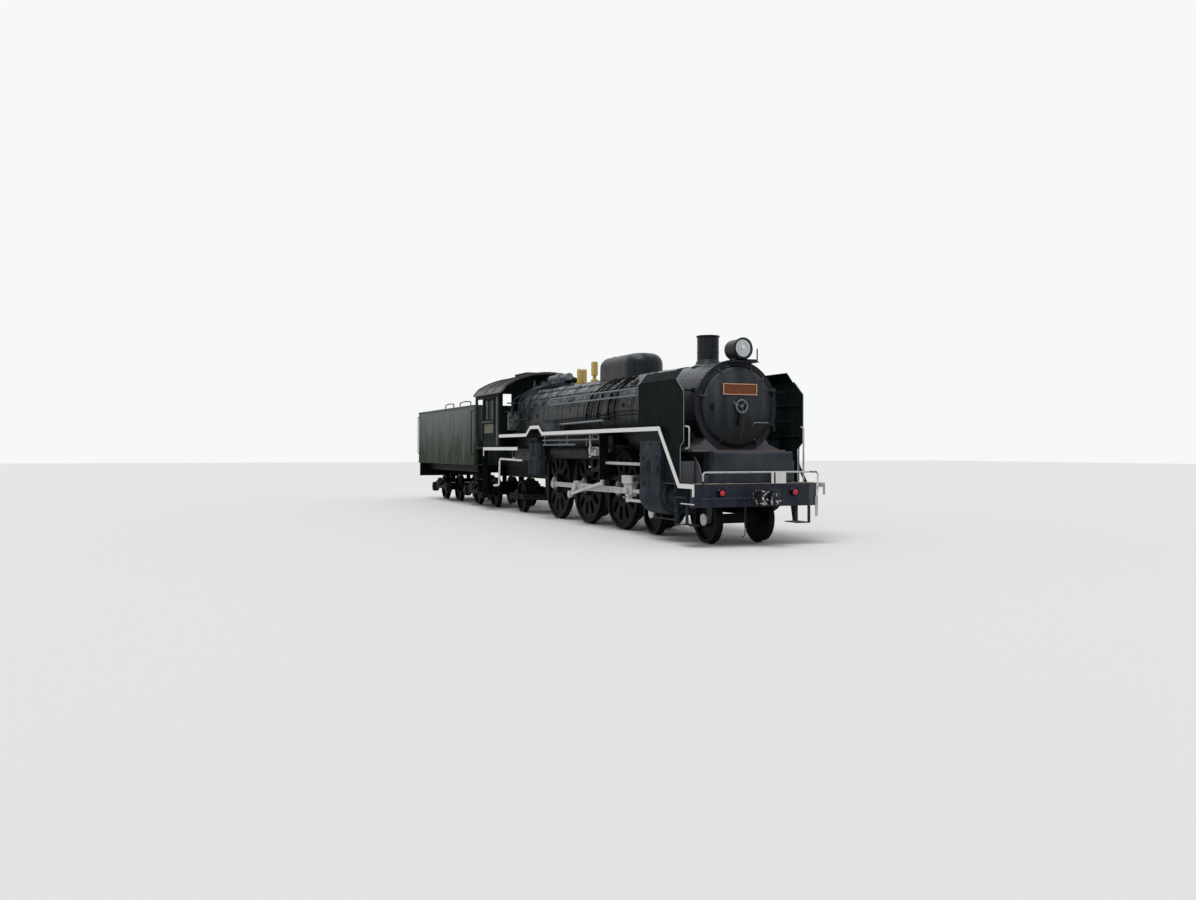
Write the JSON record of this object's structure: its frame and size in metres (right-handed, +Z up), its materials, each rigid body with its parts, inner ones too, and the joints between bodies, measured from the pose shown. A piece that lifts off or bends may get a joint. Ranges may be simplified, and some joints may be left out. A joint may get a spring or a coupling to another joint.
{
  "type": "tender steam locomotive with a 4-6-2 wheel arrangement",
  "caption": "Narrow-gauge express steam locomotive with smoke deflectors, dome casing, open rods and a bogie tender; wheels turn, trucks, tender and smokebox door swing.",
  "frame": {"origin": "on the floor at the middle of the length over couplers, under the centre line", "axes": "+X ahead, +Y to the driver's left, +Z up"},
  "size_m": [21.575, 2.85, 4.0075],
  "materials": {
    "boiler_black": "satin black paint, chalky blue-grey dust",
    "frame_black": "matte black paint with grime",
    "cab_black": "satin black paint",
    "casing_grey": "weathered blue-grey black paint",
    "wheel_steel": "black painted cast steel",
    "rod_silver": "silver-grey paint",
    "board_paint": "black plate with a white edge",
    "deflector_green": "dark green-black paint",
    "tender_green": "streaked grey-green paint",
    "fitting_brass": "dull ochre brass",
    "lamp_glass": "clear glass"
  },
  "bodies": {
    "engine": {"air_compressor": "frame_black", "air_reservoirs": "frame_black", "ashpan": "frame_black", "backhead": "cab_black", "boiler": "boiler_black", "boiler_handrails": "frame_black", "brake_gear": "frame_black", "cab_body": "cab_black", "cab_floor": "cab_black", "cab_roof": "cab_black", "cab_steps": "cab_black", "chimney": "boiler_black", "connecting_rod_left": "rod_silver", "connecting_rod_right": "rod_silver", "crosshead_left": "rod_silver", "crosshead_right": "rod_silver", "cylinder_left": "casing_grey", "cylinder_right": "casing_grey", "dome": "boiler_black", "feed_pump": "frame_black", "front_coupler": "frame_black", "front_platform": "frame_black", "generator": "boiler_black", "headlamp": "boiler_black", "headlamp_lens": "lamp_glass", "heater_casing": "boiler_black", "main_frame": "frame_black", "running_board_left": "board_paint", "running_board_right": "board_paint", "safety_valves": "fitting_brass", "slide_bars_left": "frame_black", "slide_bars_right": "frame_black", "smoke_deflector_left": "deflector_green", "smoke_deflector_right": "deflector_green", "smokebox": "boiler_black", "smokebox_saddle": "frame_black", "valve_gear_left": "rod_silver", "valve_gear_right": "rod_silver", "whistle": "fitting_brass"},
    "smokebox_door": {"smokebox_door": "boiler_black"},
    "leading_bogie": {"leading_bogie_frame": "frame_black"},
    "leading_axle_1": {"leading_wheelset_1": "wheel_steel"},
    "leading_axle_2": {"leading_wheelset_2": "wheel_steel"},
    "driving_axle_1": {"driving_wheelset_1": "wheel_steel"},
    "driving_axle_2": {"driving_wheelset_2": "wheel_steel"},
    "driving_axle_3": {"driving_wheelset_3": "wheel_steel"},
    "coupling_rod_right": {"coupling_rod_right": "rod_silver"},
    "coupling_rod_left": {"coupling_rod_left": "rod_silver"},
    "trailing_truck": {"trailing_truck_frame": "frame_black"},
    "trailing_axle": {"trailing_wheelset": "wheel_steel"},
    "tender": {"rear_coupler": "frame_black", "tender_frame": "frame_black", "tender_tank": "tender_green"},
    "tender_bogie_1": {"tender_bogie_1": "frame_black"},
    "tender_bogie_2": {"tender_bogie_2": "frame_black"},
    "tender_axle_1": {"tender_wheelset_1": "wheel_steel"},
    "tender_axle_2": {"tender_wheelset_2": "wheel_steel"},
    "tender_axle_3": {"tender_wheelset_3": "wheel_steel"},
    "tender_axle_4": {"tender_wheelset_4": "wheel_steel"},
    "water_hatch": {"water_hatch": "tender_green"}
  },
  "joints": [
    {"name": "smokebox_door_hinge", "type": "hinge", "parent": "engine", "child": "smokebox_door", "pos_m": [9.6675, 0.795, 2.5675], "axis": [0, 0, 1], "range_deg": [0, 100]},
    {"name": "leading_bogie_pivot", "type": "hinge", "parent": "engine", "child": "leading_bogie", "pos_m": [8.4275, 0, 0.628], "axis": [0, 0, 1], "range_deg": [-4, 4]},
    {"name": "leading_axle_1_spin", "type": "hinge", "parent": "leading_bogie", "child": "leading_axle_1", "pos_m": [9.5275, 0, 0.458], "axis": [0, 1, 0], "continuous": true},
    {"name": "leading_axle_2_spin", "type": "hinge", "parent": "leading_bogie", "child": "leading_axle_2", "pos_m": [7.3275, 0, 0.458], "axis": [0, 1, 0], "continuous": true},
    {"name": "driving_axle_1_spin", "type": "hinge", "parent": "engine", "child": "driving_axle_1", "pos_m": [5.7775, 0, 0.903], "axis": [0, 1, 0], "continuous": true},
    {"name": "driving_axle_2_spin", "type": "hinge", "parent": "engine", "child": "driving_axle_2", "pos_m": [3.8275, 0, 0.903], "axis": [0, 1, 0], "continuous": true},
    {"name": "driving_axle_3_spin", "type": "hinge", "parent": "engine", "child": "driving_axle_3", "pos_m": [1.8775, 0, 0.903], "axis": [0, 1, 0], "continuous": true},
    {"name": "coupling_rod_right_pin", "type": "hinge", "parent": "driving_axle_2", "child": "coupling_rod_right", "pos_m": [4.1575, -0.84, 0.903], "axis": [0, 1, 0], "continuous": true},
    {"name": "coupling_rod_left_pin", "type": "hinge", "parent": "driving_axle_2", "child": "coupling_rod_left", "pos_m": [3.8275, 0.84, 1.233], "axis": [0, 1, 0], "continuous": true},
    {"name": "trailing_truck_pivot", "type": "hinge", "parent": "engine", "child": "trailing_truck", "pos_m": [0.7275, 0, 0.458], "axis": [0, 0, 1], "range_deg": [-4, 4]},
    {"name": "trailing_axle_spin", "type": "hinge", "parent": "trailing_truck", "child": "trailing_axle", "pos_m": [-0.9725, 0, 0.458], "axis": [0, 1, 0], "continuous": true},
    {"name": "tender_drawbar_pin", "type": "hinge", "parent": "engine", "child": "tender", "pos_m": [-2.7725, 0, 1.088], "axis": [0, 0, 1], "range_deg": [-4, 4]},
    {"name": "tender_bogie_1_pivot", "type": "hinge", "parent": "tender", "child": "tender_bogie_1", "pos_m": [-4.4225, 0, 0.718], "axis": [0, 0, 1], "range_deg": [-5, 5]},
    {"name": "tender_axle_1_spin", "type": "hinge", "parent": "tender_bogie_1", "child": "tender_axle_1", "pos_m": [-3.5225, 0, 0.458], "axis": [0, 1, 0], "continuous": true},
    {"name": "tender_axle_2_spin", "type": "hinge", "parent": "tender_bogie_1", "child": "tender_axle_2", "pos_m": [-5.3225, 0, 0.458], "axis": [0, 1, 0], "continuous": true},
    {"name": "tender_bogie_2_pivot", "type": "hinge", "parent": "tender", "child": "tender_bogie_2", "pos_m": [-8.5225, 0, 0.718], "axis": [0, 0, 1], "range_deg": [-5, 5]},
    {"name": "tender_axle_3_spin", "type": "hinge", "parent": "tender_bogie_2", "child": "tender_axle_3", "pos_m": [-7.6225, 0, 0.458], "axis": [0, 1, 0], "continuous": true},
    {"name": "tender_axle_4_spin", "type": "hinge", "parent": "tender_bogie_2", "child": "tender_axle_4", "pos_m": [-9.4225, 0, 0.458], "axis": [0, 1, 0], "continuous": true},
    {"name": "water_hatch_hinge", "type": "hinge", "parent": "tender", "child": "water_hatch", "pos_m": [-9.3625, 0, 2.978], "axis": [0, -1, 0], "range_deg": [0, 105]}
  ],
  "couplings": [
    {"joint": "driving_axle_1_spin", "follows": "driving_axle_2_spin", "ratio": 1},
    {"joint": "driving_axle_3_spin", "follows": "driving_axle_2_spin", "ratio": 1},
    {"joint": "coupling_rod_right_pin", "follows": "driving_axle_2_spin", "ratio": -1},
    {"joint": "coupling_rod_left_pin", "follows": "driving_axle_2_spin", "ratio": -1}
  ]
}
